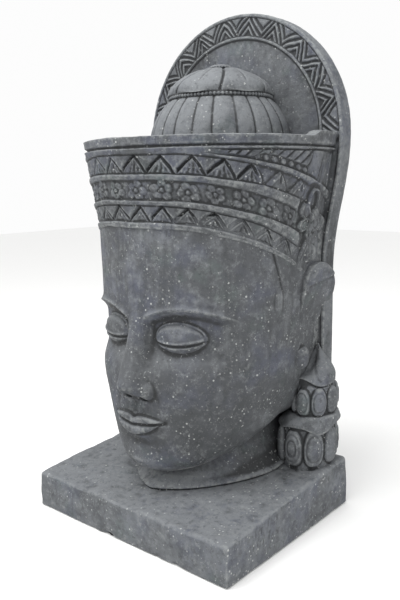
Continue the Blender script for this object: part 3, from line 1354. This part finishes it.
def carve_ear(side, label):
    columns = 240
    y, z, top, lobe = ear_outline(columns)
    line = np.subtract(lobe, top)
    share = np.clip(((y - top[0]) * line[0] + (z - top[1]) * line[1]) / (line @ line), 0.0, 1.0)
    spine_y, spine_z = top[0] + share * line[0], top[1] + share * line[1]
    far = np.hypot(y - spine_y, z - spine_z)
    inside = bpy.context.scene.fountain_head.half_width - 0.045
    rings = []

    def ring(inset, x):
        part = np.minimum(inset / far, 1.0)
        ry, rz = y + (spine_y - y) * part, z + (spine_z - z) * part
        return ry, rz, np.stack([x + 0.0 * ry, ry, rz], axis=-1)

    for part in np.linspace(1.0, 0.0, 4):
        rings.append(ring(far * part, inside)[2])
    edge_x = ear_height(y, z, np.zeros_like(y))
    for part in np.linspace(0.0, 1.0, 10)[1:]:
        rings.append(ring(0.0 * far, inside + (edge_x - inside) * part)[2])
    for part in np.linspace(0.0, 1.0, 44)[1:]:
        inset = far * part**1.15
        ry, rz, flat = ring(inset, 0.0)
        flat[..., 0] = ear_height(ry, rz, inset)
        rings.append(flat)
    rings = np.array(rings)
    rings[..., 0] *= side
    bm = tube(rings, closed_ends=False)
    layers = [(0.03, 0.0007, 101), (0.007, 0.0004, 102)]
    return finish_piece(f"{label}_ear", bm, rubbed_stone(), layers, merge=True)


def oval_beads(turn, girth, up, height, first, plan):
    """Standing beads round an earring of this mean radius, as shares of their full relief.

    The plan says for each bead in turn whether it has rings, a raised panel or is plain.
    """
    pitch = 2 * np.pi / EARRING_BEADS
    place = (turn - math.radians(first)) / pitch
    number = np.rint(place).astype(int)
    share = up / height
    taper = 1.0 - 0.20 * ease(0.45, 1.05, share)
    across = (place - number) * pitch * girth / taper
    lengths = 0.50 * height * (1.0 + 0.03 * np.sin(2.6 * number))
    out = (np.abs(across) / (0.495 * pitch * girth)) ** 2.6 + (np.abs(up - 0.5 * height) / lengths) ** 2.6
    bead = np.clip(1.0 - out, 0.0, 1.0) ** 0.46
    reach = out ** (1.0 / 2.6)
    for kind, grooves in (("rings", (0.42, 0.72)), ("panel", (0.66,))):
        chosen = np.isin(number % len(plan), [index for index, name in enumerate(plan) if name == kind])
        for groove in grooves:
            bead = bead - 0.16 * swell(reach - groove, 0.085) * chosen
    return bead


def earring_fold(turn, share):
    """The collar is cloth thrown round the earring: its lower edge hangs in a point, and folds cross it."""
    hang = -0.010 * swell(turn - 0.95, 0.36) + 0.005 * swell(turn - 0.05, 0.40) + 0.0025 * np.sin(4.0 * turn)
    crease = np.sin(6.0 * turn + 5.0 * share) + 0.6 * np.sin(11.0 * turn - 4.0 * share)
    roll = 0.87 + 0.14 * math.sin(math.pi * min(0.10 + 0.85 * share, 1.0)) ** 0.6 + 0.018 * crease
    return hang * (1.0 - share), roll


def hood_taper(turn, share):
    """The hood falls away early over the lobe in front, and stands full at the side."""
    ahead = swell(turn + 0.15, 0.75)
    return (1.0 - ease(0.20 - 0.22 * ahead, 1.04 - 0.46 * ahead, share)) ** (0.85 + 0.25 * ahead)


def carve_earring(side, label):
    ears = bpy.context.scene.fountain_ears
    y = slab_front() - EARRING_AHEAD
    rear = slab_front() + bpy.context.scene.fountain_block.slab_thickness - 0.002
    turn = column_turns(236) * np.pi
    collar_z = ears.foot + ears.drop_height
    bead_z = collar_z + ears.collar
    hood_z = bead_z + ears.bead_height
    drop = np.array([ears.drop_width, ears.drop_depth])
    bead = np.array([ears.bead_width, ears.bead_depth])
    hood = np.array([ears.hood_width, ears.hood_depth])
    rings = []

    def ring(oval, share, z, x):
        """A ring that is this share of an oval, cut off flat behind."""
        back = np.minimum(y - share * oval[1] * np.cos(turn), rear)
        return np.stack([x + share * oval[0] * np.sin(turn), back, z + 0.0 * turn], axis=-1)

    rings.append(ring(drop, 0.80, ears.foot - EMBED, DROP_OUT))
    for share in np.linspace(0.0, 1.0, 60):
        beads = oval_beads(turn, drop.mean(), ears.drop_height * share, ears.drop_height, 3.0, DROP_PLAN)
        rings.append(ring(drop, 0.82 + 0.18 * beads, ears.foot + ears.drop_height * share, DROP_OUT))
    for share in np.linspace(0.0, 1.0, 26)[1:]:
        hang, roll = earring_fold(turn, share)
        oval = drop + (1.06 * bead - drop) * share
        out = DROP_OUT + (BEAD_OUT - DROP_OUT) * share
        rings.append(ring(oval, roll, collar_z + ears.collar * share + hang, out))
    for share in np.linspace(0.0, 1.0, 44)[1:]:
        beads = oval_beads(turn, bead.mean(), ears.bead_height * share, ears.bead_height, 4.0, BEAD_PLAN)
        rings.append(ring(bead, 0.80 + 0.20 * beads, bead_z + ears.bead_height * share, BEAD_OUT))
    for share in np.linspace(0.0, 1.0, 48)[1:]:
        drape = (0.014 * swell(turn + 0.10, 0.55) - 0.004 * swell(turn - 0.95, 0.6)) * (1.0 - share) ** 2
        swelling = min(1.0, 0.78 + 3.0 * share)
        fold = 1.0 - 0.08 * swell(np.sin(turn - 1.1 + 1.6 * share), 0.14) * math.sin(math.pi * share)
        width = swelling * (0.05 + 0.95 * hood_taper(turn, share)) * fold
        width = width * (1.0 + 0.24 * swell(turn + 0.30, 0.50) * (1.0 - share) ** 3)
        rings.append(ring(hood, width, hood_z + ears.hood_height * share + drape, HOOD_OUT + 0.005 * share))
    rings = np.array(rings)
    rings[..., 0] *= side
    bm = tube(rings)
    layers = [(0.02, 0.0009, 111), (0.006, 0.0006, 112)]
    return finish_piece(f"{label}_earring", bm, chiselled_stone(), layers)


# Studio

def add_light(name, place, target, size, power):
    """A soft square light of this size that looks at target."""
    data = bpy.data.lights.new(name, "AREA")
    data.shape = "SQUARE"
    data.size = size
    data.energy = power
    light = bpy.data.objects.new(name, data)
    aim = Vector(target) - Vector(place)
    light.matrix_world = Matrix.Translation(place) @ aim.to_track_quat("-Z", "Y").to_matrix().to_4x4()
    bpy.context.scene.collection.objects.link(light)


def add_camera():
    """Camera at the photograph's height, side and slope."""
    place = Vector((0.8936, -1.0188, 0.6712))
    yaw, pitch, roll = 0.7047, 0.1733, -0.0158
    ahead = Vector((-math.sin(yaw) * math.cos(pitch), math.cos(yaw) * math.cos(pitch), -math.sin(pitch)))
    right = Vector((math.cos(yaw), math.sin(yaw), 0.0))
    up = right.cross(ahead)
    tilted_up = up * math.cos(roll) - right * math.sin(roll)
    tilted_right = right * math.cos(roll) + up * math.sin(roll)
    data = bpy.data.cameras.new("camera")
    data.lens = bpy.context.scene.fountain_studio.lens
    data.sensor_width = 36.0
    data.clip_end = 60.0
    camera = bpy.data.objects.new("camera", data)
    turn = Matrix((tilted_right, tilted_up, -ahead)).transposed().to_4x4()
    camera.matrix_world = Matrix.Translation(place) @ turn
    bpy.context.scene.collection.objects.link(camera)
    bpy.context.scene.camera = camera


def build_stage():
    studio = bpy.context.scene.fountain_studio
    bm = bmesh.new()
    bmesh.ops.create_grid(bm, x_segments=8, y_segments=8, size=studio.floor_size / 2)
    bmesh.ops.translate(bm, verts=bm.verts, vec=(0.0, 0.0, -0.0005))
    mesh = bpy.data.meshes.new("studio_floor")
    bm.to_mesh(mesh)
    bm.free()
    mesh.materials.append(plain_floor())
    floor = bpy.data.objects.new("studio_floor", mesh)
    bpy.context.scene.collection.objects.link(floor)
    world = bpy.data.worlds.new("studio")
    world.use_nodes = True
    sky = world.node_tree.nodes["Background"]
    sky.inputs["Color"].default_value = (1.0, 1.0, 1.0, 1.0)
    sky.inputs["Strength"].default_value = studio.sky
    bpy.context.scene.world = world
    add_light("overhead_light", (-0.1, -0.9, 2.6), (0.0, 0.0, 0.5), 1.4, studio.key)
    add_light("side_light", (-1.5, -2.0, 1.7), (0.0, 0.0, 0.5), 1.2, studio.side)
    add_light("low_light", (1.7, -0.5, 0.30), (0.1, 0.0, 0.2), 0.9, studio.low)
    # A plain film curve keeps the white ground white beside the dark stone.
    bpy.context.scene.view_settings.view_transform = "Standard"
    add_camera()


# Operators

class FOUNTAIN_OT_plinth(bpy.types.Operator):
    """Carve the worn plinth"""

    bl_idname = "fountain.plinth"
    bl_label = "Plinth"

    def execute(self, context):
        carve_plinth()
        return {"FINISHED"}


class FOUNTAIN_OT_head(bpy.types.Operator):
    """Carve the head and the neck"""

    bl_idname = "fountain.head"
    bl_label = "Head and Neck"

    def execute(self, context):
        carve_head()
        return {"FINISHED"}


class FOUNTAIN_OT_crown(bpy.types.Operator):
    """Carve the banded crown and its basin"""

    bl_idname = "fountain.crown"
    bl_label = "Crown"

    def execute(self, context):
        carve_crown()
        return {"FINISHED"}


class FOUNTAIN_OT_slab(bpy.types.Operator):
    """Carve the round-headed slab"""

    bl_idname = "fountain.slab"
    bl_label = "Slab"

    def execute(self, context):
        carve_slab()
        return {"FINISHED"}


class FOUNTAIN_OT_topknot(bpy.types.Operator):
    """Carve the ribbed topknot and its petal cap"""

    bl_idname = "fountain.topknot"
    bl_label = "Topknot"

    def execute(self, context):
        carve_topknot()
        return {"FINISHED"}


class FOUNTAIN_OT_ears(bpy.types.Operator):
    """Carve both ears and their drop earrings"""

    bl_idname = "fountain.ears"
    bl_label = "Ears and Earrings"

    def execute(self, context):
        for side, label in ((-1, "right"), (1, "left")):
            carve_ear(side, label)
            carve_earring(side, label)
        return {"FINISHED"}


class FOUNTAIN_OT_stage(bpy.types.Operator):
    """Lay the floor and set the lights and the camera"""

    bl_idname = "fountain.stage"
    bl_label = "Stage"

    def execute(self, context):
        build_stage()
        return {"FINISHED"}


OPERATORS = (
    FOUNTAIN_OT_plinth,
    FOUNTAIN_OT_head,
    FOUNTAIN_OT_crown,
    FOUNTAIN_OT_slab,
    FOUNTAIN_OT_topknot,
    FOUNTAIN_OT_ears,
    FOUNTAIN_OT_stage,
)


class FOUNTAIN_PT_sidebar(bpy.types.Panel):
    """Lists the fountain's pieces and their sizes"""

    bl_label = "Stone Head Fountain"
    bl_idname = "FOUNTAIN_PT_sidebar"
    bl_space_type = "VIEW_3D"
    bl_region_type = "UI"
    bl_category = "Fountain"

    def draw(self, context):
        for operator in OPERATORS:
            self.layout.operator(operator.bl_idname)
        for group, kind in GROUPS.items():
            box = self.layout.box()
            box.label(text=kind.__doc__)
            for name in kind.__annotations__:
                box.prop(getattr(context.scene, group), name)


def register():
    for group, kind in GROUPS.items():
        bpy.utils.register_class(kind)
        setattr(bpy.types.Scene, group, bpy.props.PointerProperty(type=kind))
    for operator in OPERATORS:
        bpy.utils.register_class(operator)
    bpy.utils.register_class(FOUNTAIN_PT_sidebar)


def unregister():
    bpy.utils.unregister_class(FOUNTAIN_PT_sidebar)
    for operator in reversed(OPERATORS):
        bpy.utils.unregister_class(operator)
    for group, kind in reversed(GROUPS.items()):
        delattr(bpy.types.Scene, group)
        bpy.utils.unregister_class(kind)


def main():
    register()
    bpy.ops.fountain.stage()
    bpy.ops.fountain.plinth()
    bpy.ops.fountain.head()
    bpy.ops.fountain.crown()
    bpy.ops.fountain.slab()
    bpy.ops.fountain.topknot()
    bpy.ops.fountain.ears()


if __name__ == "__main__":
    main()
